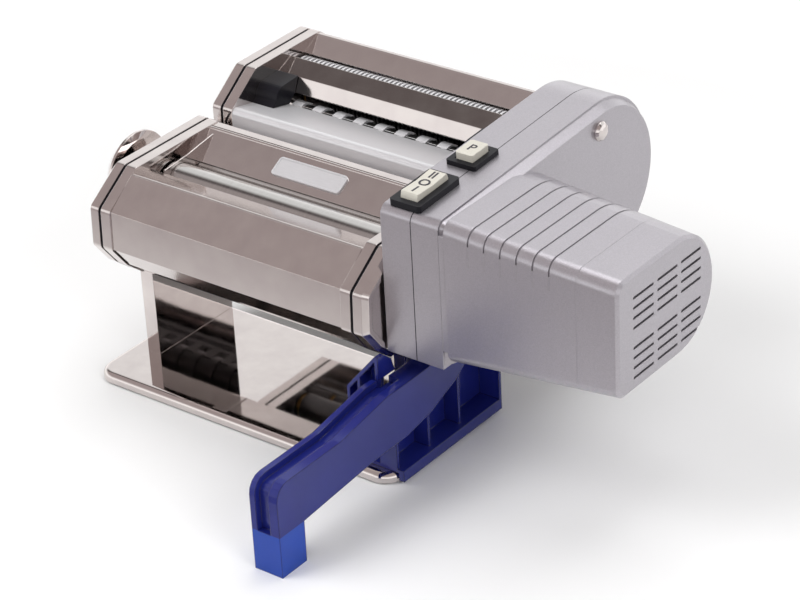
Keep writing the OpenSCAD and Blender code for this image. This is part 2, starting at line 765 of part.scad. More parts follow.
// Rollers: turned barrels with a pinned gear at the motor end
module hex_rod(a, b, p, r) { translate([0, p.x, p.y]) along_x(a, b) circle(r, $fn = 6); }
module roller(p, left, right, start) {
    turned(p, [[0, -left], [journal_r, -left], [journal_r, -barrel_x], [roll_r, -barrel_x],
        [roll_r, barrel_x], [journal_r, barrel_x], [journal_r, right], [0, right]]);
    gear(side_gear_x, side_gear_x + side_gear_w, p, side_teeth, roll_gear_module, start);
}
module roller_driven() {
    color("lightgray") difference() {
        roller(driven_axis, spacer_x, side_gear_x + side_gear_w, 0);
        hex_rod(spacer_x, end_x, driven_axis, hex_r + seat/2);
    }
}
module roller_adjustable() {
    color("lightgray")
        roller(adjust_axis, spacer_x - frame_sheet, side_gear_x + side_gear_w, roll_gear_start);
}

// Carriage: the bearing blocks of the adjustable roller, tied by a bar in front of it
module adjuster_carriage() {
    block_x = spacer_x - cover_sheet;
    color("darkgray") {
        both_sides() difference() {
            block(frame_x, block_x, carriage_front, carriage_back, roll_z - bush_r, roll_z + bush_r);
            rod(frame_x - cut, block_x + cut, adjust_axis, journal_r + run_fit);
        }
        rod(-frame_x, frame_x, [carriage_front + tie_d/2, roll_z], tie_d/2);
        mirror([1, 0, 0]) rod(block_x, cam_x + cam_t, adjust_axis - [cam_r + pin_r + seat/2, 0], pin_r);
    }
}

// Radius of the cam at the angle a: a spiral over the knob's turn, and a low rest before it
function cam_radius(a) = a > knob_turn + cam_rest ? cam_r : cam_r + roll_open*min(a, knob_turn)/knob_turn;

// The spindle carries a spiral cam, that pushes the pin of the carriage as the knob turns
module adjuster_spindle() {
    end = end_x + knob_gap + knob_t - 2*cap_wall - knob_pull;
    color("gray") mirror([1, 0, 0]) {
        rod(cam_x, end, adjust_axis, spindle_r);
        translate([0, adjust_axis.x, adjust_axis.y]) along_x(cam_x, cam_x + cam_t)
            polygon([for (a = [0:cam_step:360 - cam_step]) cam_radius(a)*[-cos(a), sin(a)]]);
    }
}
module adjuster_knob() {
    x0 = end_x + knob_gap;
    hub = 2*spindle_r;
    rim = cap_wall;
    color("silver") mirror([1, 0, 0]) turned(adjust_axis, [
        [spindle_r + run_fit, x0], [hub, x0], [hub, x0 + knob_t/3], [knob_r - 3*rim, x0 + knob_t/2 - rim],
        [knob_r, x0 + knob_t/2], [knob_r, x0 + knob_t/2 + rim], [knob_r - knob_t/2 + rim, x0 + knob_t],
        [0, x0 + knob_t], [0, x0 + knob_t - cap_wall], [spindle_r + run_fit, x0 + knob_t - cap_wall]]);
}

// Cutter head
module cutter_rails() {
    color("silver") both_sides()
        block(frame_x, spacer_x, head_back, cutter_y, cutter_loop[7].y, cutter_loop[7].y + rail_h);
}
guide_roll = [cutter_y + hem_big, head_z + guide_roll_rise];
guide_end = [cutter_y + guide_reach, head_z + guide_end_rise];
guide_over = arc(guide_roll, hem_big, guide_roll_turn, 180, 6);
module cutter_front_guide() {
    color("silver") wide_sheet(concat([guide_end], guide_over, [[cutter_y, head_z + apron_rise]]));
}
bar_foot = [cutter_y + bar_reach, head_z + bar_foot_rise];
bar_edge = bar_foot + [bar_face_l*cos(bar_face_tilt), bar_face_l*sin(bar_face_tilt)];
bar_back = bar_edge + [bar_top_l*cos(bar_top_tilt), bar_top_l*sin(bar_top_tilt)];
module cutter_middle_bar() {
    color("gray") wide_sheet([bar_back + [hem_r, -bar_lip], bar_back, bar_edge, bar_foot]);
}
rear_loop = inset(cutter_loop, cover_sheet);
rear_hem = [cutter_y + rear_hem_reach, rear_loop[4].y - hem_r];
rear_end = [cutter_y + rear_end_reach, head_z + rear_end_rise];
module cutter_rear_sheet() {
    color("rosybrown") {
        wide_sheet([rear_loop[2], rear_loop[3], rear_loop[4], rear_hem + [0, hem_r]]);
        wide_sheet([rear_hem + [0, hem_r], rear_end]);
        wide_hem(rear_hem);
    }
}
module cutter_cheeks() {
    face = guide_end + cheek_l*unit(guide_over[0] - guide_end);
    color([0.1, 0.1, 0.12]) both_sides() along_x(frame_x - cheek_w, frame_x) polygon(concat(
        [face, guide_end], [bar_foot - [seat, 0], bar_edge - [seat, -cover_sheet]],
        arc([guide_end.x - cheek_l/4, bar_edge.y - cheek_l/2], cheek_l/2, 90, 180, 8)));
}
module cutter_bushes() {
    r = cutter_journal_r + cap_wall - run_fit;
    color("goldenrod") both_sides()
        for (p = [wide_front_axis, wide_rear_axis, fine_front_axis, fine_rear_axis]) turned(p, [
            [cutter_journal_r + run_fit, frame_x - cap_wall], [r + cap_wall, frame_x - cap_wall],
            [r + cap_wall, frame_x], [r, frame_x], [r, spacer_x], [cutter_journal_r + run_fit, spacer_x]]);
}

// A cutter shaft: count discs from x0, a gear at the motor end, and round journals
function discs(x0, count, pitch, w) = [for (k = [0:count - 1]) each [
    [cutter_core_r, x0 + k*pitch], [cutter_r, x0 + k*pitch],
    [cutter_r, x0 + k*pitch + w], [cutter_core_r, x0 + k*pitch + w]]];
module cutter(p, count, pitch, shift, start, driven) {
    w = pitch/2 - 2*disc_clear;
    x0 = -count*pitch/2 + shift*pitch/2 + disc_clear;
    end = side_gear_x + side_gear_w;
    core = frame_x - cap_wall - seat;
    difference() {
        union() {
            turned(p, concat(
                [[0, -spacer_x], [cutter_journal_r, -spacer_x],
                    [cutter_journal_r, -core], [cutter_core_r, -core]],
                discs(x0, count, pitch, w),
                [[cutter_core_r, core], [cutter_journal_r, core], [cutter_journal_r, end], [0, end]]));
            gear(side_gear_x, end, p, side_teeth, cutter_gear_module, start);
        }
        if (driven) hex_rod(spacer_x, end_x, p, cutter_hex_r + seat/2);
    }
}
module wide_cutter_front() { color("lightgray") cutter(wide_front_axis, wide_count, wide_pitch, 0, 0, true); }
module wide_cutter_rear() {
    color("lightgray") cutter(wide_rear_axis, wide_count, wide_pitch, 1, wide_gear_start, false);
}
module fine_cutter_front() {
    color("lightgray") cutter(fine_front_axis, fine_count, fine_pitch, 0, 0, false);
}
module fine_cutter_rear() {
    color("lightgray") cutter(fine_rear_axis, fine_count, fine_pitch, 1, fine_gear_start, true);
}

// A comb lies under a rear shaft: its fingers reach into the gaps between the discs
module comb(p, count, pitch) {
    finger = pitch/2 - 4*disc_clear;
    x0 = (2 - count)*pitch/2 + (pitch/2 - finger)/2;
    translate([0, p.x, p.y - cutter_core_r - cover_sheet - seat]) linear_extrude(cover_sheet) {
        translate([-frame_x, cutter_r]) square([2*frame_x, comb_back]);
        for (k = [0:count - 2]) translate([x0 + k*pitch, 0]) square([finger, cutter_r + comb_back]);
    }
}
module wide_comb() { color("silver") comb(wide_rear_axis, wide_count, wide_pitch); }
module fine_comb() { color("silver") comb(fine_rear_axis, fine_count, fine_pitch); }

// Gearbox outline, moved inwards by d: straight sides, a round back end and a round front top edge
function top_z(y, d = 0) = shell_mid + (shell_r - d)/cos(top_slope) + (y - shell_back)*tan(top_slope);
edge_y = shell_edge_r - shell_front;
edge_centre = [edge_y, top_z(edge_y, shell_edge_r)];
module gearbox_outline(d) {
    up = [-sin(top_slope), cos(top_slope)];
    e = max(shell_edge_r - d, seat);
    back = [shell_back, shell_mid];
    translate(back) circle(shell_r - d, $fn = 96);
    translate(edge_centre) circle(e);
    polygon([[d - shell_front, shell_bottom + d], [shell_back, shell_bottom + d], back + (shell_r - d)*up,
        edge_centre + e*up, edge_centre - [e, 0]]);
}

// Places on the sloping top: Y runs back from the front face, Z stands off the top
module on_top(x, y, h = 0) {
    translate([0, -shell_front, top_z(-shell_front)]) rotate([top_slope, 0, 0])
        translate([x, y, h]) children();
}
module switch_holes() {
    on_top(switch_x, rocker_y, -2*shell_wall) linear_extrude(4*shell_wall)
        square([rocker_frame_w - 2*collar_in + seat, rocker_frame_l - 2*collar_in + seat], center = true);
    on_top(switch_x, pulse_y, -2*shell_wall) linear_extrude(4*shell_wall)
        square([pulse_frame_w - 2*collar_in + seat, pulse_frame_l - 2*collar_in + seat], center = true);
}

// Inner shell: collars round the drive spindles rest on the end caps
spindle_axes = [driven_axis, wide_front_axis, fine_rear_axis];
module gearbox_inner_shell() {
    color("silver") difference() {
        union() {
            along_x(gearbox_x, seam_x) gearbox_outline(0);
            for (p = spindle_axes) rod(end_x - cap_wall/2, gearbox_x + cut, p, collar_r);
        }
        along_x(gearbox_x + shell_wall, seam_x + cut) gearbox_outline(shell_wall);
        for (p = spindle_axes) rod(cap_x, seam_x, p, hub_r + run_fit);
        rod(gearbox_x + shell_wall/2, seam_x, reduction_axis, axle_r + run_fit);
        rod(gearbox_x + shell_wall, seam_x + cut, driven_axis, drive_tip_r + 2*seat);
        switch_holes();
    }
}

// A thin slice of the motor housing at x, moved inwards by d: flat front, round back, tapering outwards
module housing_slice(x, d) {
    share = (x - outer_x)/(motor_end_x - outer_x);
    r = housing_r - housing_taper*share;
    front = -shell_front + housing_rake*share + housing_edge_r;
    translate([x, 0, 0]) {
        rod(0, seat, [housing_y, housing_mid], r - d);
        for (z = [-1, 1]) rod(0, seat, [front, housing_mid + z*(r - housing_edge_r)], housing_edge_r - d);
    }
}
module gearbox_outer_shell() {
    groove_x = outer_x + groove_start;
    color("silver") difference() {
        union() {
            along_x(seam_x, outer_x - ridge_d) gearbox_outline(0);
            hull() {
                along_x(outer_x - ridge_d - seat, outer_x - ridge_d) gearbox_outline(ridge_step);
                along_x(outer_x - seat, outer_x) gearbox_outline(ridge_step + ridge_d/2);
            }
            hull() { housing_slice(outer_x - shell_wall, 0); housing_slice(cover_x - seat, 0); }
        }
        along_x(seam_x - cut, outer_x - ridge_d - shell_wall) gearbox_outline(shell_wall);
        along_x(outer_x - ridge_d - shell_wall - cut, outer_x - shell_wall)
            gearbox_outline(ridge_step + ridge_d/2 + shell_wall);
        hull() { housing_slice(outer_x, housing_wall); housing_slice(cover_x, housing_wall); }
        intersection() {
            for (k = [0:groove_count - 1]) translate([groove_x + k*groove_pitch, 0, 0])
                block(0, groove_w, -2*shell_front, 2*shell_front,
                    housing_mid + housing_r/2, housing_mid + 2*housing_r);
            difference() {
                hull() { housing_slice(outer_x, -cut); housing_slice(cover_x, -cut); }
                hull() { housing_slice(outer_x - cut, groove_w); housing_slice(cover_x + cut, groove_w); }
            }
        }
        rod(outer_x - ridge_d, outer_x + cut, motor_axis, motor_boss_r + seat);
        for (p = screw_places) rod(outer_x - ridge_d, outer_x + cut, p, screw_r + run_fit);
        translate([gland_x, gland_y, shell_bottom - cut])
            cylinder(h = 2*shell_wall + cap_wall + cut, r = gland_r + run_fit);
        switch_holes();
    }
}
module motor_end_cover() {
    group = vent_rows*vent_pitch + vent_pitch;
    color("silver") difference() {
        hull() {
            housing_slice(cover_x, 0);
            housing_slice(motor_end_x - cover_edge, 0);
            housing_slice(motor_end_x - seat, cover_edge);
        }
        hull() {
            housing_slice(cover_x - cut, housing_wall);
            housing_slice(motor_end_x - cover_edge - seat, housing_wall);
            housing_slice(motor_end_x - housing_wall - seat, cover_edge + housing_wall);
        }
        along_x(motor_end_x - 2*cover_edge, motor_end_x + cut)
            for (g = [-1, 1], i = [0:vent_rows - 1], k = [0:vent_columns - 1])
                translate([vent_y + (k - 1)*vent_column_pitch,
                    vent_z + g*group/2 + (i - (vent_rows - 1)/2)*vent_pitch])
                    slot(vent_slot_l, vent_slot_h);
    }
}
module housing_screws() {
    color("silver") for (p = screw_places) turned(p, [
        [0, outer_x - ridge_d], [screw_r, outer_x - ridge_d], [screw_r, outer_x], [2*screw_r, outer_x],
        [2*screw_r, outer_x + screw_r/2], [screw_r*1.6, outer_x + screw_r], [screw_r, outer_x + screw_r*1.3],
        [0, outer_x + screw_r*1.4]]);
}
module cord_gland() {
    color("dimgray") translate([gland_x, gland_y, shell_bottom]) rotate_extrude() polygon([
        [gland_r/2, -gland_r], [gland_r*0.8, -gland_r], [gland_r + cap_wall, -cap_wall],
        [gland_r + cap_wall, 0], [gland_r, 0],
        [gland_r, shell_wall + cap_wall], [gland_r/2, shell_wall + cap_wall]]);
}

// Drive: spindles with hexagon ends turn the rollers and cutters
plane_a = gearbox_x + shell_wall + cap_wall;
plane_b = plane_a + gear_w + cap_wall;
module drive_spindle(p, hex, end) {
    hex_rod(spacer_x + seat, gearbox_x, p, hex);
    rod(end_x - cap_wall/2, end, p, hub_r);
}
module drive_gear_roller() {
    color("ivory") {
        drive_spindle(driven_axis, hex_r, plane_b);
        gear(plane_a, plane_a + gear_w, driven_axis, drive_teeth, drive_module, drive_start);
    }
}
module drive_gear_wide() {
    color("ivory") {
        drive_spindle(wide_front_axis, cutter_hex_r, plane_b);
        gear(plane_a, plane_a + gear_w, wide_front_axis, drive_teeth, drive_module, wide_start);
        gear(plane_b, plane_b + link_w, wide_front_axis, link_teeth, link_module, 0);
    }
}
module drive_gear_fine() {
    color("ivory") {
        drive_spindle(fine_rear_axis, cutter_hex_r, plane_b);
        gear(plane_b, plane_b + link_w, fine_rear_axis, link_teeth, link_module, link_start);
    }
}
module reduction_gear() {
    color("ivory") difference() {
        union() {
            gear(plane_a, plane_a + gear_w, reduction_axis, pinion_teeth, drive_module, pinion_start);
            rod(plane_a, plane_b + link_w, reduction_axis, axle_r + cap_wall);
            gear(plane_b, plane_b + link_w, reduction_axis, reduction_teeth, reduction_module, 0);
        }
        rod(plane_a - cut, seam_x, reduction_axis, axle_r + run_fit);
    }
}
module idler_axle() {
    end = plane_b + link_w + seat;
    color("gray") turned(reduction_axis, [
        [0, gearbox_x + shell_wall/2], [axle_r, gearbox_x + shell_wall/2], [axle_r, end],
        [axle_r + cap_wall, end], [axle_r + cap_wall, end + cap_wall], [0, end + cap_wall]]);
}

// Motor: a can on the outer shell, its rotor with pinion, and a cooling fan behind it
can_end = outer_x + can_l;
module motor_can() {
    color("gray") turned(motor_axis, [
        [shaft_r + run_fit, outer_x - shell_wall],
        [motor_boss_r, outer_x - shell_wall], [motor_boss_r, outer_x],
        [can_r, outer_x], [can_r, can_end], [motor_boss_r, can_end], [motor_boss_r, can_end + shell_wall],
        [shaft_r + run_fit, can_end + shell_wall], [shaft_r + run_fit, can_end - cap_wall],
        [can_r - can_wall, can_end - cap_wall], [can_r - can_wall, outer_x + cap_wall],
        [shaft_r + run_fit, outer_x + cap_wall]]);
}
module motor_rotor() {
    wall = 2*cap_wall;
    armature_r = can_r - can_wall - cap_wall;
    color("peru") {
        turned(motor_axis, [
            [0, plane_b], [shaft_r, plane_b], [shaft_r, outer_x + wall], [armature_r, outer_x + wall],
            [armature_r, can_end - wall], [shaft_r, can_end - wall],
            [shaft_r, fan_x + fan_l], [0, fan_x + fan_l]]);
        gear(plane_b, plane_b + link_w, motor_axis, pinion_teeth, reduction_module, rotor_start);
    }
}
module cooling_fan() {
    color("dimgray") difference() {
        union() {
            rod(fan_x, fan_x + fan_l, motor_axis, 2*shaft_r);
            for (a = [0:360/fan_blades:359]) translate([fan_x + fan_l/2, motor_axis.x, motor_axis.y])
                rotate([a, 0, 0]) rotate([0, 0, fan_pitch])
                    block(-fan_l/2, fan_l/2, -cap_wall/2, cap_wall/2, shaft_r + cap_wall, fan_r);
        }
        rod(fan_x - cut, fan_x + fan_l + cut, motor_axis, shaft_r + run_fit);
    }
}

// Switches on the gearbox
module switch_frame(y, w, l, h, hole_w, hole_l) {
    difference() {
        union() {
            on_top(switch_x, y) linear_extrude(h) round_square(w, l, h/2);
            on_top(switch_x, y, -collar_h) linear_extrude(collar_h + h/2)
                square([w - 2*collar_in, l - 2*collar_in], center = true);
        }
        on_top(switch_x, y, -collar_h - cut) linear_extrude(collar_h + h + 2*cut)
            square([hole_w + 2*seat, hole_l + 2*seat], center = true);
        children();
    }
}
module rocker_pin(fit) {
    on_top(switch_x, rocker_y, rocker_pivot_h) rotate([0, 90, 0])
        cylinder(h = rocker_w + 2*rocker_pin_l, r = rocker_pin_r + fit, center = true);
}
module rocker_frame() {
    color([0.17, 0.16, 0.19])
        switch_frame(rocker_y, rocker_frame_w, rocker_frame_l, rocker_frame_h, rocker_w, 2*rocker_r)
            rocker_pin(run_fit);
}
module rocker_switch() {
    color("ivory") {
        on_top(switch_x, rocker_y, rocker_pivot_h) along_x(-rocker_w/2, rocker_w/2) intersection() {
            circle(rocker_r);
            polygon([[-2*rocker_r, -rocker_low], [2*rocker_r, -rocker_low],
                [2*rocker_r, rocker_high + rocker_dip],
                [0, rocker_high], [-2*rocker_r, rocker_high + rocker_dip]]);
        }
        rocker_pin(0);
    }
}
module pulse_frame() {
    color([0.17, 0.16, 0.19])
        switch_frame(pulse_y, pulse_frame_w, pulse_frame_l, pulse_frame_h, pulse_w, pulse_l);
}
module pulse_button() {
    color("ivory") on_top(switch_x, pulse_y, -collar_h - cap_wall)
        linear_extrude(collar_h + cap_wall + pulse_frame_h + pulse_travel + cap_wall)
            round_square(pulse_w, pulse_l, cap_wall);
}
module switch_body(y, w, l, deep) {
    difference() {
        on_top(switch_x, y, -collar_h - switch_depth) linear_extrude(switch_depth)
            square([w + 2*cap_wall, l + 2*cap_wall], center = true);
        on_top(switch_x, y, -collar_h - deep) linear_extrude(deep + cut)
            square([w + 2*seat, l + 2*seat], center = true);
    }
}
module switch_bodies() {
    color("dimgray") {
        switch_body(rocker_y, rocker_w, 2*rocker_r, rocker_low);
        switch_body(pulse_y, pulse_w, pulse_l, cap_wall + pulse_travel + seat);
    }
}

// Brace: a bracket screwed to the pan, and an arm that stands on the table and holds the motor unit up
module head_clear() { along_x(frame_x - cut, end_x + seat) polygon(inset(head_loop, -2*seat)); }
// Side view of the arm: foot, underside, pad under the gearbox, and top down to the rounded tip
arm_loop = let (
    run = arm_reach + arm_back,
    low = [for (p = arm_low_shares) [p.x*run - arm_reach, p.y*shell_bottom]],
    high = [for (p = arm_high_shares) [p.x*run - arm_reach, p.y*shell_bottom]],
    last = high[len(high) - 1], tip = [-arm_reach, last.y], foot_back = arm_foot_l - arm_reach)
    concat([[-arm_reach, 0], [foot_back, 0], [foot_back + seat, arm_foot_h]], low, high,
        corner(last, tip, [-arm_reach, 0], arm_tip, 4));
module arm_profile(d) { polygon(inset(arm_loop, d)); }
module support_bracket() {
    ledge = base_h + brace_wall;
    x1 = arm_x + arm_w;
    face = [[bracket_x, base_h], [web_x + web_t, base_h], [web_x + web_t, base_h + horn_rise],
        [web_x, base_h + horn_rise], [bracket_x, base_h + bracket_rise]];
    color([0.1, 0.2, 0.7]) difference() {
        union() {
            block(bracket_x, x1, -bracket_front, -leg_front - seat, base_h, ledge);
            block(web_x, x1, -bracket_front, bracket_back, base_h, ledge);
            block(max(base_l/2 + seat, web_x), x1, -bracket_front, bracket_back, 2*base_gap, ledge);
            along_y(-bracket_front, bracket_depth - bracket_front) difference() {
                polygon(face);
                difference() {
                    polygon(inset(face, brace_wall));
                    translate([bracket_x + bracket_depth - brace_wall, base_h]) square([brace_wall, head_z]);
                    translate([bracket_x, base_h + shelf_rise]) square([web_x - bracket_x, brace_wall]);
                }
            }
            along_y(bracket_depth - bracket_front, bracket_depth + brace_wall - bracket_front) polygon(face);
            along_x(web_x, web_x + web_t) polygon([
                [-bracket_front, base_h], [bracket_back, base_h], [bracket_back, base_h + web_low],
                [-bracket_front + web_run, base_h + web_low],
                [-bracket_front + web_run/2, base_h + bracket_rise],
                [-bracket_front + bracket_depth, base_h + horn_rise], [-bracket_front, base_h + horn_rise]]);
            for (y = [-bracket_front, -bracket_front + rib_pitch, -bracket_front + 2*rib_pitch])
                block(web_x, x1 - 2*brace_wall, y, y + brace_wall, base_h, base_h + web_low);
            block(web_x, x1, bracket_back - brace_wall, bracket_back, base_h, base_h + web_low);
        }
        head_clear();
        along_x(arm_x - cut, x1 + cut) intersection() {
            arm_profile(-seat);
            translate([-bracket_front - cut, 0]) square([2*arm_reach, 2*arm_reach]);
        }
    }
}
module support_arm() {
    x1 = arm_x + arm_w;
    color([0.15, 0.18, 0.5]) difference() {
        along_x(arm_x, x1) arm_profile(0);
        block(arm_x - cut, end_x + seat, -bracket_front - seat, 2*arm_reach, 0, 2*arm_reach);
        along_x(arm_x + brace_wall, x1 - brace_wall) intersection() {
            union() for (k = [1, 2, 3]) translate([0, -k*arm_groove]) arm_profile(brace_wall);
            translate([arm_foot_l - arm_reach, 0]) square([2*arm_reach, 2*arm_reach]);
        }
        block(arm_x + brace_wall, x1 - brace_wall, brace_wall - arm_reach, arm_foot_l - arm_reach + cut,
            brace_wall, arm_foot_h - brace_wall);
        along_x(groove_x0, groove_x0 + groove_wide) intersection() {
            difference() { arm_profile(-cut); arm_profile(arm_groove); }
            union() {
                translate([-2*arm_reach, arm_foot_h]) square([arm_reach + arm_groove, arm_reach]);
                translate([-arm_reach - cut, arm_foot_h + arm_foot_l])
                    square([arm_reach - shell_front + cut, arm_reach]);
            }
        }
    }
}

base_plate();
base_feet();
leg_left();
leg_right();
leg_screws();
head_frame_left();
head_frame_right();
cap_spacers();
head_cap_left();
head_cap_right();
front_cover();
back_cover();
hopper_front_plate();
hopper_rear_plate();
badge_plate();
hopper_guides();
tie_rods();
roller_scrapers();
roller_bushes();
roller_driven();
roller_adjustable();
adjuster_carriage();
adjuster_spindle();
adjuster_knob();
cutter_rails();
cutter_frame_left();
cutter_frame_right();
cutter_cap_left();
cutter_cap_right();
cutter_front_guide();
cutter_middle_bar();
cutter_rear_sheet();
cutter_cheeks();
cutter_bushes();
wide_cutter_front();
wide_cutter_rear();
fine_cutter_front();
fine_cutter_rear();
wide_comb();
fine_comb();
gearbox_inner_shell();
gearbox_outer_shell();
motor_end_cover();
housing_screws();
cord_gland();
drive_gear_roller();
drive_gear_wide();
drive_gear_fine();
reduction_gear();
idler_axle();
motor_can();
motor_rotor();
cooling_fan();
rocker_frame();
rocker_switch();
pulse_frame();
pulse_button();
switch_bodies();
support_bracket();
support_arm();
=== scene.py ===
import json
import math

import bpy
from mathutils import Matrix, Vector


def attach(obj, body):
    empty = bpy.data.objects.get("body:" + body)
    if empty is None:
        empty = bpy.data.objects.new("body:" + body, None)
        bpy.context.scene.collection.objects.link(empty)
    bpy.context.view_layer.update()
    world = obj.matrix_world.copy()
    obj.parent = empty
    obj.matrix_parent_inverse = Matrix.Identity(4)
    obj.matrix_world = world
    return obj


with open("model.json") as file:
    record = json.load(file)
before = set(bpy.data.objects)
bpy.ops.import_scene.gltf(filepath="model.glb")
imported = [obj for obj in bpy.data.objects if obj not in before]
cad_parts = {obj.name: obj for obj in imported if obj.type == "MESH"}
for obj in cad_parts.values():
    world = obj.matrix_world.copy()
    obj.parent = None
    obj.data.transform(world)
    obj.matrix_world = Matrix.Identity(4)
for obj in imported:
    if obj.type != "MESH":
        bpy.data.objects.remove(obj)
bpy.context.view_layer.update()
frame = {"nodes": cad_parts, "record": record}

nodes = frame["nodes"]
MM = 0.001


# Camera: the angle, roll and lens of the photograph, in the part's own frame
AZIMUTH, ELEVATION, ROLL = (math.radians(v) for v in (38.69, 29.32, -3.14))
TARGET = Vector((1.38, 104.68, 14.66)) * MM
DISTANCE = 1804.21 * MM
NEAREST = 50 * MM
SENSOR_W = 36
FOCAL_PIXELS = 2884.33
IMAGE_W = 800


def place_camera():
    back = Vector((math.sin(AZIMUTH) * math.cos(ELEVATION), -math.cos(AZIMUTH) * math.cos(ELEVATION),
                   math.sin(ELEVATION)))
    right = Vector((math.cos(AZIMUTH), math.sin(AZIMUTH), 0))
    up = back.cross(right)
    right, up = (right * math.cos(ROLL) + up * math.sin(ROLL), up * math.cos(ROLL) - right * math.sin(ROLL))
    data = bpy.data.cameras.new("camera")
    data.sensor_width = SENSOR_W
    data.lens = FOCAL_PIXELS / IMAGE_W * SENSOR_W
    data.clip_start = NEAREST
    camera = bpy.data.objects.new("camera", data)
    turn = Matrix((right, up, back)).transposed().to_4x4()
    camera.matrix_world = Matrix.Translation(TARGET + back * DISTANCE) @ turn
    bpy.context.scene.collection.objects.link(camera)
    bpy.context.scene.camera = camera


# Colours, nodes and materials
def linear(hex_colour):
    """An sRGB colour as the linear one that a socket takes."""
    parts = [int(hex_colour[i:i + 2], 16) / 255 for i in (0, 2, 4)]
    return [p / 12.92 if p <= 0.04045 else ((p + 0.055) / 1.055) ** 2.4 for p in parts] + [1]


def add(tree, kind, inputs=(), give=None, **settings):
    """Adds a node. inputs maps a socket to a value or to another node's output, give picks the output returned."""
    node = tree.nodes.new(kind)
    for name, value in settings.items():
        setattr(node, name, value)
    for socket, value in dict(inputs).items():
        if isinstance(value, bpy.types.NodeSocket):
            tree.links.new(value, node.inputs[socket])
        else:
            node.inputs[socket].default_value = value
    return node if give is None else node.outputs[give]


def start(name):
    """A new material with its object coordinates."""
    material = bpy.data.materials.new(name)
    material.use_nodes = True
    tree = material.node_tree
    tree.nodes.clear()
    return material, tree, add(tree, "ShaderNodeTexCoord", give="Object")


def finish_material(material, tree, inputs):
    """Gives a material its shader and its output."""
    shader = add(tree, "ShaderNodeBsdfPrincipled", inputs, "BSDF")
    add(tree, "ShaderNodeOutputMaterial", {"Surface": shader})
    return material


# A noise keeps near its middle, and this part of it is stretched over the whole of a range
MIDDLE = {"From Min": 0.3, "From Max": 0.7}
# How strongly relief shows
RELIEF = {"Strength": 0.6}
# A Bevel node rounds every sharp edge to the eye, so that pressed and moulded edges catch the light
EDGE_SAMPLES = 4


# Chromed sheet steel, pressed and polished: a warm mirror whose panels are a little uneven, with faint smears
def chromed_steel(name, blur):
    material, tree, place = start(name)
    sway = add(tree, "ShaderNodeTexNoise", {"Vector": place, "Scale": 1 / (45 * MM)}, "Fac")
    smears = add(tree, "ShaderNodeTexNoise", {"Vector": place, "Scale": 1 / (14 * MM), "Detail": 5}, "Fac")
    shade = add(tree, "ShaderNodeMapRange", {**MIDDLE, "Value": smears}, "Result")
    edges = add(tree, "ShaderNodeBevel", {"Radius": 0.6 * MM}, "Normal", samples=EDGE_SAMPLES)
    return finish_material(material, tree, {
        "Base Color": add(tree, "ShaderNodeMix", {"Factor": shade, "A": linear("d2cac8"), "B": linear("dad3d0")},
                          "Result", data_type="RGBA"),
        "Metallic": 1,
        "Roughness": add(tree, "ShaderNodeMapRange",
                         {**MIDDLE, "Value": smears, "To Min": blur, "To Max": 1.3 * blur}, "Result"),
        "Normal": add(tree, "ShaderNodeBump",
                      {**RELIEF, "Height": sway, "Distance": 0.08 * MM, "Normal": edges}, "Normal")})


# Turned and ground steel: the lathe leaves fine rings round the X axis. Real ones are about 0.1 mm apart: these
# are drawn coarser so that they show
def ground_steel():
    material, tree, place = start("ground_steel")
    stretched = add(tree, "ShaderNodeMapping", {"Vector": place, "Scale": (1, 0.02, 0.02)}, "Vector")
    rings = add(tree, "ShaderNodeTexNoise", {"Vector": stretched, "Scale": 1 / (0.6 * MM), "Detail": 3}, "Fac")
    edges = add(tree, "ShaderNodeBevel", {"Radius": 0.25 * MM}, "Normal", samples=EDGE_SAMPLES)
    return finish_material(material, tree, {
        "Base Color": add(tree, "ShaderNodeMix", {"Factor": rings, "A": linear("bdbab8"), "B": linear("d2d0ce")},
                          "Result", data_type="RGBA"),
        "Metallic": 1,
        "Roughness": add(tree, "ShaderNodeMapRange",
                         {**MIDDLE, "Value": rings, "To Min": 0.12, "To Max": 0.2}, "Result"),
        "Normal": add(tree, "ShaderNodeBump",
                      {**RELIEF, "Height": rings, "Distance": 0.004 * MM, "Normal": edges}, "Normal")})


# Case-hardened cutter steel: oiled, and its colour painted darker as shade, so that the slots stay deep
def cutter_steel():
    material, tree, place = start("oiled_cutter_steel_painted_shade")
    stains = add(tree, "ShaderNodeTexNoise", {"Vector": place, "Scale": 1 / (4 * MM), "Detail": 4}, "Fac")
    edges = add(tree, "ShaderNodeBevel", {"Radius": 0.2 * MM}, "Normal", samples=EDGE_SAMPLES)
    return finish_material(material, tree, {
        "Base Color": add(tree, "ShaderNodeMix", {"Factor": stains, "A": linear("3c3a3b"), "B": linear("545152")},
                          "Result", data_type="RGBA"),
        "Metallic": 1,
        "Roughness": add(tree, "ShaderNodeMapRange",
                         {**MIDDLE, "Value": stains, "To Min": 0.3, "To Max": 0.42}, "Result"),
        "Normal": add(tree, "ShaderNodeBump",
                      {**RELIEF, "Height": stains, "Distance": 0.01 * MM, "Normal": edges}, "Normal")})


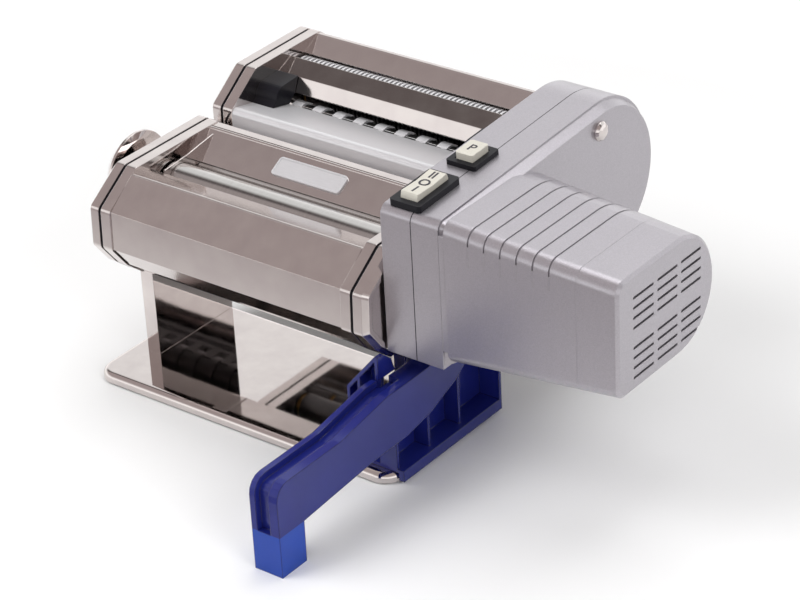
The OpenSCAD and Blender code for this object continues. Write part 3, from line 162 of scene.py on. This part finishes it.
# Satin metal, brushed along X under clear lacquer: paler and softer than the chrome. Real strokes are under
# 0.1 mm wide: these are drawn coarser so that they show
def satin_metal():
    material, tree, place = start("brushed_satin_metal")
    along = add(tree, "ShaderNodeMapping", {"Vector": place, "Scale": (0.05, 1, 1)}, "Vector")
    strokes = add(tree, "ShaderNodeTexNoise", {"Vector": along, "Scale": 1 / (0.3 * MM), "Detail": 3}, "Fac")
    edges = add(tree, "ShaderNodeBevel", {"Radius": 0.3 * MM}, "Normal", samples=EDGE_SAMPLES)
    return finish_material(material, tree, {
        "Base Color": add(tree, "ShaderNodeMix", {"Factor": strokes, "A": linear("cfced1"), "B": linear("e2e1e4")},
                          "Result", data_type="RGBA"),
        "Metallic": 0.4,
        "Roughness": add(tree, "ShaderNodeMapRange",
                         {**MIDDLE, "Value": strokes, "To Min": 0.3, "To Max": 0.42}, "Result"),
        "Coat Weight": 0.3,
        "Normal": add(tree, "ShaderNodeBump",
                      {**RELIEF, "Height": strokes, "Distance": 0.01 * MM, "Normal": edges}, "Normal")})


# Sintered bronze: porous, dull and a little stained by oil. Real pores are about 0.05 mm: these are drawn coarser
def sintered_bronze():
    material, tree, place = start("sintered_bronze")
    pores = add(tree, "ShaderNodeTexNoise", {"Vector": place, "Scale": 1 / (0.5 * MM), "Detail": 3}, "Fac")
    edges = add(tree, "ShaderNodeBevel", {"Radius": 0.2 * MM}, "Normal", samples=EDGE_SAMPLES)
    return finish_material(material, tree, {
        "Base Color": add(tree, "ShaderNodeMix", {"Factor": pores, "A": linear("7d6138"), "B": linear("a8854f")},
                          "Result", data_type="RGBA"),
        "Metallic": 1,
        "Roughness": add(tree, "ShaderNodeMapRange",
                         {**MIDDLE, "Value": pores, "To Min": 0.3, "To Max": 0.5}, "Result"),
        "Normal": add(tree, "ShaderNodeBump",
                      {**RELIEF, "Height": pores, "Distance": 0.03 * MM, "Normal": edges}, "Normal")})


# The shadow gap between the two halves of the gearbox: its middle, and half its width
SEAM_X = 125.5 * MM
SEAM_W = 0.3 * MM


# ABS with silver metallic paint: flakes sparkle under a thin satin lacquer, over a slight orange peel
def painted_abs():
    material, tree, place = start("silver_painted_abs")
    # Real flakes are under 0.1 mm: these are drawn coarser so that they show
    flakes = add(tree, "ShaderNodeTexVoronoi", {"Vector": place, "Scale": 1 / (0.45 * MM)}, "Color")
    shade = add(tree, "ShaderNodeRGBToBW", {"Color": flakes}, "Val")
    silver = add(tree, "ShaderNodeMix", {"Factor": shade, "A": linear("a8a4aa"), "B": linear("b6b2b8")},
                 "Result", data_type="RGBA")
    across = add(tree, "ShaderNodeSeparateXYZ", {0: place}, "X")
    gap = add(tree, "ShaderNodeMath", {0: across, 1: SEAM_X, 2: SEAM_W}, 0, operation="COMPARE")
    haze = add(tree, "ShaderNodeTexNoise", {"Vector": place, "Scale": 1 / (20 * MM)}, "Fac")
    peel = add(tree, "ShaderNodeTexNoise", {"Vector": place, "Scale": 1 / (0.8 * MM)}, "Fac")
    edges = add(tree, "ShaderNodeBevel", {"Radius": 0.8 * MM}, "Normal", samples=EDGE_SAMPLES)
    return finish_material(material, tree, {
        "Base Color": add(tree, "ShaderNodeMix", {"Factor": gap, "A": silver, "B": linear("2c2a2e")},
                          "Result", data_type="RGBA"),
        "Metallic": 0.7,
        "Roughness": add(tree, "ShaderNodeMapRange",
                         {**MIDDLE, "Value": haze, "To Min": 0.29, "To Max": 0.35}, "Result"),
        "Coat Weight": 0.25,
        "Coat Roughness": 0.25,
        "Normal": add(tree, "ShaderNodeBump",
                      {**RELIEF, "Height": peel, "Distance": 0.015 * MM, "Normal": edges}, "Normal")})


# Moulded plastic: the fine grain of a spark-eroded mould, drawn coarser than the real 0.1 mm so that it shows
def moulded_plastic(name, dark, light, roughness, edge_mm, shine=0.5):
    material, tree, place = start(name)
    cloud = add(tree, "ShaderNodeTexNoise", {"Vector": place, "Scale": 1 / (9 * MM)}, "Fac")
    grain = add(tree, "ShaderNodeTexNoise", {"Vector": place, "Scale": 1 / (0.7 * MM), "Detail": 3}, "Fac")
    edges = add(tree, "ShaderNodeBevel", {"Radius": edge_mm * MM}, "Normal", samples=EDGE_SAMPLES)
    return finish_material(material, tree, {
        "Base Color": add(tree, "ShaderNodeMix", {"Factor": cloud, "A": linear(dark), "B": linear(light)},
                          "Result", data_type="RGBA"),
        "Roughness": add(tree, "ShaderNodeMapRange",
                         {**MIDDLE, "Value": grain, "To Min": roughness, "To Max": roughness + 0.1}, "Result"),
        "Specular IOR Level": shine,
        "Normal": add(tree, "ShaderNodeBump",
                      {**RELIEF, "Height": grain, "Distance": 0.02 * MM, "Normal": edges}, "Normal")})


# The hollow foot of the arm lies before FOOT_Y and below FOOT_H: there the blue plastic is painted brighter, as light
# passing its thin walls
FOOT_Y, FOOT_H = -112 * MM, 26 * MM


# Translucent polycarbonate: its colour is painted deep navy as the shade where its walls stand close together,
# painted darker still along its edges as shade, and painted bright where light passes the thin walls of the hollow foot
def clear_blue_polycarbonate():
    material, tree, place = start("blue_polycarbonate")
    flow = add(tree, "ShaderNodeTexNoise", {"Vector": place, "Scale": 1 / (25 * MM)}, "Fac")
    ripple = add(tree, "ShaderNodeTexNoise", {"Vector": place, "Scale": 1 / (6 * MM)}, "Fac")
    # An edge is where the rounded normal leaves the flat one
    edges = add(tree, "ShaderNodeBevel", {"Radius": 1.1 * MM}, "Normal", samples=EDGE_SAMPLES)
    flat = add(tree, "ShaderNodeNewGeometry", give="True Normal")
    bend = add(tree, "ShaderNodeVectorMath", {0: edges, 1: flat}, "Value", operation="DOT_PRODUCT")
    # Painted shade: the blue is darkened along the edges
    painted_edge_shade = add(tree, "ShaderNodeMapRange", {"Value": bend, "From Min": 0.995, "From Max": 0.9, "To Max": 0.75}, "Result")
    way = add(tree, "ShaderNodeSeparateXYZ", {0: place}).outputs
    # Painted light: a brighter blue on the foot, where light passes its thin walls
    forward = add(tree, "ShaderNodeMath", {0: way["Y"], 1: FOOT_Y}, 0, operation="LESS_THAN")
    low = add(tree, "ShaderNodeMath", {0: way["Z"], 1: FOOT_H}, 0, operation="LESS_THAN")
    painted_glow_mask = add(tree, "ShaderNodeMath", {0: forward, 1: low}, 0, operation="MULTIPLY")
    navy = add(tree, "ShaderNodeMix", {"Factor": flow, "A": linear("222a84"), "B": linear("2a3494")},
               "Result", data_type="RGBA")
    navy_and_painted_glow = add(tree, "ShaderNodeMix", {"Factor": painted_glow_mask, "A": navy, "B": linear("1c50c4")}, "Result", data_type="RGBA")
    return finish_material(material, tree, {
        "Base Color": add(tree, "ShaderNodeMix", {"Factor": painted_edge_shade, "A": navy_and_painted_glow, "B": linear("17124c")},
                          "Result", data_type="RGBA"),
        "Roughness": add(tree, "ShaderNodeMapRange",
                         {**MIDDLE, "Value": flow, "To Min": 0.12, "To Max": 0.2}, "Result"),
        "IOR": 1.58,
        "Specular IOR Level": 0.3,
        "Transmission Weight": 0.35,
        "Normal": add(tree, "ShaderNodeBump",
                      {**RELIEF, "Height": ripple, "Distance": 0.02 * MM, "Normal": edges}, "Normal")})


# Moulded rubber: matt, with a dusty bloom
def moulded_rubber():
    material, tree, place = start("moulded_rubber")
    bloom = add(tree, "ShaderNodeTexNoise", {"Vector": place, "Scale": 1 / (2 * MM), "Detail": 4}, "Fac")
    edges = add(tree, "ShaderNodeBevel", {"Radius": 0.4 * MM}, "Normal", samples=EDGE_SAMPLES)
    return finish_material(material, tree, {
        "Base Color": add(tree, "ShaderNodeMix", {"Factor": bloom, "A": linear("161618"), "B": linear("2b2b2e")},
                          "Result", data_type="RGBA"),
        "Roughness": add(tree, "ShaderNodeMapRange",
                         {**MIDDLE, "Value": bloom, "To Min": 0.65, "To Max": 0.85}, "Result"),
        "Normal": add(tree, "ShaderNodeBump",
                      {**RELIEF, "Height": bloom, "Distance": 0.05 * MM, "Normal": edges}, "Normal")})


# Printed ink on a switch: dark and matt, a little worn
def switch_ink():
    material, tree, place = start("switch_ink")
    wear = add(tree, "ShaderNodeTexNoise", {"Vector": place, "Scale": 1 / (0.6 * MM), "Detail": 3}, "Fac")
    return finish_material(material, tree, {
        "Base Color": add(tree, "ShaderNodeMix", {"Factor": wear, "A": linear("26242a"), "B": linear("45424a")},
                          "Result", data_type="RGBA"),
        "Roughness": add(tree, "ShaderNodeMapRange",
                         {**MIDDLE, "Value": wear, "To Min": 0.5, "To Max": 0.7}, "Result")})


SHADED_CUTTER_STEEL = cutter_steel()
SATIN = satin_metal()
SILVER_ABS = painted_abs()
INK = switch_ink()
SLOT_MATERIALS = {
    "chrome": chromed_steel("chromed_steel", 0.1),
    "steel": ground_steel(),
    "bronze": sintered_bronze(),
    "rubber": moulded_rubber(),
    "silver_plastic": SILVER_ABS,
    "black_plastic": moulded_plastic("black_moulded_abs", "0f0f14", "18181f", 0.3, 0.5, 0.22),
    "cream_plastic": moulded_plastic("cream_moulded_abs", "cbc7bc", "d6d2c8", 0.26, 0.6),
    "gear_plastic": moulded_plastic("acetal", "d8d6cc", "e6e4dc", 0.35, 0.3),
    "blue_plastic": clear_blue_polycarbonate(),
}
# Pieces finished in another way than the rest of their slot
OWN_FINISHES = (
    (SATIN, ("badge_plate", "cutter_front_guide")),
    (chromed_steel("mirror_chromed_steel", 0.035),
     ("base_plate", "leg_left", "leg_right", "adjuster_knob", "housing_screws")),
    (SHADED_CUTTER_STEEL, ("wide_cutter_front", "wide_cutter_rear", "fine_cutter_front", "fine_cutter_rear",
                    "wide_comb", "fine_comb")),
)
for part in frame["record"]["subparts"]:
    for held in nodes[part["node"]].material_slots:
        held.material = SLOT_MATERIALS[part["material_slot"]]
for material, finished in OWN_FINISHES:
    for name in finished:
        for held in nodes[name].material_slots:
            held.material = material


def deselect():
    bpy.ops.object.select_all(action="DESELECT")


def join(pieces, name):
    """Joins pieces into the first of them."""
    deselect()
    for piece in pieces:
        piece.select_set(True)
    bpy.context.view_layer.objects.active = pieces[0]
    bpy.ops.object.join()
    pieces[0].name = name


# The switches stand on the gearbox's sloping top. A rocker's two ends tilt towards its middle
TOP_FRONT_Y, TOP_FRONT_Z = -38 * MM, 173.189 * MM
TOP_SLOPE = math.radians(3.3)
SWITCH_X = 119.5 * MM
ROCKER_Y, PULSE_Y = 22.3 * MM, 67 * MM
FACE_H = 7 * MM
FACE_TILT = math.radians(10 / 3)
MARK_SIZE = 9 * MM
MARK_DEPTH = 0.12 * MM
MARK_LIFT = 0.2 * MM
MARK_REACH = 8.4 * MM
MARK_RISE = MARK_REACH * math.tan(FACE_TILT)


def mark(name, letters, body, along, height, tilt=0.0):
    """A printed mark on a switch. along runs back from the gearbox's front, height stands off its top."""
    deselect()
    bpy.ops.object.text_add()
    piece = bpy.context.object
    piece.name = name
    piece.data.body = letters
    piece.data.size = MARK_SIZE
    piece.data.align_x = "CENTER"
    piece.data.align_y = "CENTER"
    piece.data.extrude = MARK_DEPTH
    piece.data.offset = MARK_DEPTH
    bpy.ops.object.convert(target="MESH")
    place = (Matrix.Translation((0, TOP_FRONT_Y, TOP_FRONT_Z)) @ Matrix.Rotation(TOP_SLOPE, 4, "X")
             @ Matrix.Translation((SWITCH_X, along, height)) @ Matrix.Rotation(tilt, 4, "X"))
    piece.data.transform(place)
    piece.data.materials.append(INK)
    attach(piece, body)


mark("mark_two", "II", "rocker", ROCKER_Y + MARK_REACH, FACE_H + MARK_RISE, FACE_TILT)
mark("mark_off", "O", "rocker", ROCKER_Y, FACE_H + MARK_LIFT)
mark("mark_one", "I", "rocker", ROCKER_Y - MARK_REACH, FACE_H + MARK_RISE, -FACE_TILT)
mark("mark_pulse", "P", "pulse", PULSE_Y, FACE_H)


# The tops of the cutter discs, as they show in the two feed slots. FRAME_X is the side frames' inner face. Each
# row turns round an axis at (y, z), its round side faces lean, and it is cut flat at chord from the axis
FRAME_X = 86 * MM
DISC_R, CORE_R = 10.5 * MM, 9.2 * MM
ROUND_SIDES = 128
WIDE_ROW = {"axis": (100.5 * MM, 126 * MM), "lean": math.radians(78), "chord": 8.6 * MM,
            "first_x": -65.3 * MM, "count": 9, "pitch": 15.85 * MM, "width": 7.4 * MM}
FINE_ROW = {"axis": (127.3 * MM, 142 * MM), "lean": math.radians(75), "chord": 8.3 * MM,
            "first_x": -83 * MM, "count": 52, "pitch": 3.24 * MM, "width": 1.5 * MM}


def segment(radius, chord, width, middle_x, axis, lean):
    """A bar round an axis along X, cut flat at chord from the axis, with its round side facing lean."""
    deselect()
    bpy.ops.mesh.primitive_cylinder_add(vertices=ROUND_SIDES, radius=radius, depth=width,
                                        location=(middle_x, *axis), rotation=(0, math.pi / 2, 0))
    piece = bpy.context.object
    bpy.ops.object.transform_apply(location=True, rotation=True, scale=True)
    facing = Vector((0, math.cos(lean), math.sin(lean)))
    bpy.ops.object.mode_set(mode="EDIT")
    bpy.ops.mesh.select_all(action="SELECT")
    bpy.ops.mesh.bisect(plane_co=Vector((middle_x, *axis)) + chord * facing, plane_no=facing,
                        clear_inner=True, use_fill=True)
    bpy.ops.object.mode_set(mode="OBJECT")
    return piece


def lands(name, axis, lean, chord, first_x, count, pitch, width):
    """A row of disc tops on a core, painted dark as the shade between the discs, that reaches from one side frame to
    the other.
    """
    shaded_core = segment(CORE_R, chord, 2 * FRAME_X, 0, axis, lean)
    shaded_core.data.materials.append(SHADED_CUTTER_STEEL)
    discs = segment(DISC_R, chord, width, first_x, axis, lean)
    discs.data.materials.append(SATIN)
    # One disc is shaped, and the rest are its copies along X
    row = discs.modifiers.new("row", "ARRAY")
    row.use_relative_offset = False
    row.use_constant_offset = True
    row.constant_offset_displace = (pitch, 0, 0)
    row.count = count
    bpy.ops.object.modifier_apply(modifier="row")
    join([discs, shaded_core], name)
    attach(discs, "housing")


lands("wide_feed_lands", **WIDE_ROW)
lands("fine_feed_lands", **FINE_ROW)


# The motor housing's front is smooth: its grooves end at the rounded edge, and it runs on into the gearbox.
# It stands back by RAKE and its top falls by TAPER for each metre of its length
HOUSING_X, HOUSING_Y, HOUSING_TOP = 150 * MM, -38 * MM, 164.7 * MM
RAKE, TAPER = 5 / 106.3, 8.5 / 106.3
GROOVE_X, GROOVE_PITCH, GROOVE_W, GROOVES = 162.9 * MM, 10.2 * MM, MM, 6
GROOVE_FOOT = 151.2 * MM
GROOVE_EDGE = 0.05 * MM
VALLEY_LOW = (144 * MM, HOUSING_Y - 0.06 * MM, 93.3 * MM)
VALLEY_HIGH = (147.7 * MM, HOUSING_Y + 3 * MM, 165.7 * MM)
VALLEY_EDGE = 0.4 * MM


def strip(low, high, edge, back=0.0):
    """A moulded strip between two corners, whose right side stands back a little."""
    deselect()
    middle = [(a + b) / 2 for a, b in zip(low, high)]
    bpy.ops.mesh.primitive_cube_add(size=1, location=middle, scale=[b - a for a, b in zip(low, high)])
    piece = bpy.context.object
    bpy.ops.object.transform_apply(location=True, rotation=True, scale=True)
    for corner in piece.data.vertices:
        if corner.co.x > middle[0]:
            corner.co.y += back
    soft = piece.modifiers.new("edges", "BEVEL")
    soft.width = edge
    soft.segments = 2
    bpy.ops.object.modifier_apply(modifier="edges")
    piece.data.materials.append(SILVER_ABS)
    return piece


fronts = [strip(VALLEY_LOW, VALLEY_HIGH, VALLEY_EDGE)]
for k in range(GROOVES):
    x = GROOVE_X + k * GROOVE_PITCH
    y = HOUSING_Y + (x - HOUSING_X) * RAKE
    top = HOUSING_TOP - (x - HOUSING_X) * TAPER
    fronts.append(strip((x, y, GROOVE_FOOT), (x + GROOVE_W, y + GROOVE_W, top), GROOVE_EDGE, GROOVE_W * RAKE))
join(fronts, "housing_front_strips")
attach(fronts[0], "housing")


# Studio: a pale floor that keeps the shadow, large soft lamps, and a white surround. Each lamp has a place, a
# width in metres and a power in watts, and points at AIM
FLOOR_W = 8
AIM = Vector((0, 0, 0.1))
LAMPS = {"key": ((-0.9, -1.1, 1.7), 1.2, 26), "fill": ((1.7, -0.5, 1.1), 1.0, 12), "top": ((0.1, 0.6, 2.0), 1.4, 16)}


def pale_floor():
    material, tree, place = start("pale_floor")
    cloud = add(tree, "ShaderNodeTexNoise", {"Vector": place, "Scale": 1 / (400 * MM)}, "Fac")
    cloth = add(tree, "ShaderNodeMix", {"Factor": cloud, "A": linear("f4f4f5"), "B": linear("fafafa")},
                "Result", data_type="RGBA")
    # Chrome that looks at the floor in front of the object sees it darker
    forward = add(tree, "ShaderNodeSeparateXYZ", {0: place}, "Y")
    near = add(tree, "ShaderNodeMapRange", {"Value": forward, "From Min": -0.08, "From Max": -0.3}, "Result")
    rays = add(tree, "ShaderNodeLightPath").outputs
    near = add(tree, "ShaderNodeMath", {0: near, 1: rays["Is Glossy Ray"]}, 0, operation="MULTIPLY")
    # Far from the object the floor melts into the white backdrop
    away = add(tree, "ShaderNodeVectorMath", {0: place}, "Value", operation="LENGTH")
    away = add(tree, "ShaderNodeMapRange", {"Value": away, "From Min": 0.5, "From Max": 1.6}, "Result")
    return finish_material(material, tree, {
        "Base Color": add(tree, "ShaderNodeMix", {"Factor": near, "A": cloth, "B": linear("9a9293")},
                          "Result", data_type="RGBA"),
        "Roughness": 0.5,
        "Emission Color": linear("ffffff"),
        "Emission Strength": add(tree, "ShaderNodeMath", {0: away, 1: rays["Is Camera Ray"]}, 0,
                                 operation="MULTIPLY")})


def surround():
    world = bpy.data.worlds.new("surround")
    world.use_nodes = True
    tree = world.node_tree
    tree.nodes.clear()
    rays = add(tree, "ShaderNodeLightPath").outputs
    # Mirrors show a white backdrop behind, a dark gap overhead, a taupe room in front and a soft light low down
    way = add(tree, "ShaderNodeSeparateXYZ", {0: add(tree, "ShaderNodeTexCoord", give="Generated")}).outputs
    depth = add(tree, "ShaderNodeMapRange", {"Value": way["Y"], "From Min": -1, "From Max": 1}, "Result")
    walls = add(tree, "ShaderNodeValToRGB", {"Fac": depth})
    stops = walls.color_ramp.elements
    stops[0].position, stops[0].color = 0, linear("b4aaa9")
    stops[1].position, stops[1].color = 0.7, linear("ffffff")
    for at, colour in ((0.49, "b5aaa9"), (0.55, "5a5355"), (0.6, "6a6260")):
        stops.new(at).color = linear(colour)
    low = add(tree, "ShaderNodeMapRange", {"Value": way["Z"], "From Min": 0.52, "From Max": 0.22}, "Result")
    scenery = add(tree, "ShaderNodeMix", {"Factor": low, "A": walls.outputs["Color"], "B": linear("ffffff")},
                  "Result", data_type="RGBA")
    glow = add(tree, "ShaderNodeMapRange", {"Value": low, "To Min": 1, "To Max": 1.35}, "Result")
    light = add(tree, "ShaderNodeBackground", {"Color": linear("e8e6e4"), "Strength": 0.45}, 0)
    white = add(tree, "ShaderNodeBackground", {"Color": linear("ffffff"), "Strength": 1}, 0)
    room = add(tree, "ShaderNodeBackground", {"Color": scenery, "Strength": glow}, 0)
    seen = add(tree, "ShaderNodeMath", {0: rays["Is Camera Ray"], 1: rays["Is Transmission Ray"]}, 0,
               operation="MAXIMUM")
    lit = add(tree, "ShaderNodeMixShader", {0: rays["Is Glossy Ray"], 1: light, 2: room}, 0)
    both = add(tree, "ShaderNodeMixShader", {0: seen, 1: lit, 2: white}, 0)
    add(tree, "ShaderNodeOutputWorld", {"Surface": both})
    return world


def studio():
    deselect()
    bpy.ops.mesh.primitive_plane_add(size=FLOOR_W)
    floor = bpy.context.object
    floor.name = "floor"
    floor.data.materials.append(pale_floor())
    for name, (place, width, power) in LAMPS.items():
        data = bpy.data.lights.new(name, "AREA")
        data.size = width
        data.energy = power
        lamp = bpy.data.objects.new(name, data)
        lamp.location = place
        lamp.visible_glossy = name == "top"
        lamp.rotation_euler = (AIM - lamp.location).to_track_quat("-Z", "Y").to_euler()
        bpy.context.scene.collection.objects.link(lamp)
    bpy.context.scene.world = surround()


place_camera()
studio()
bpy.context.scene.view_settings.view_transform = "Standard"
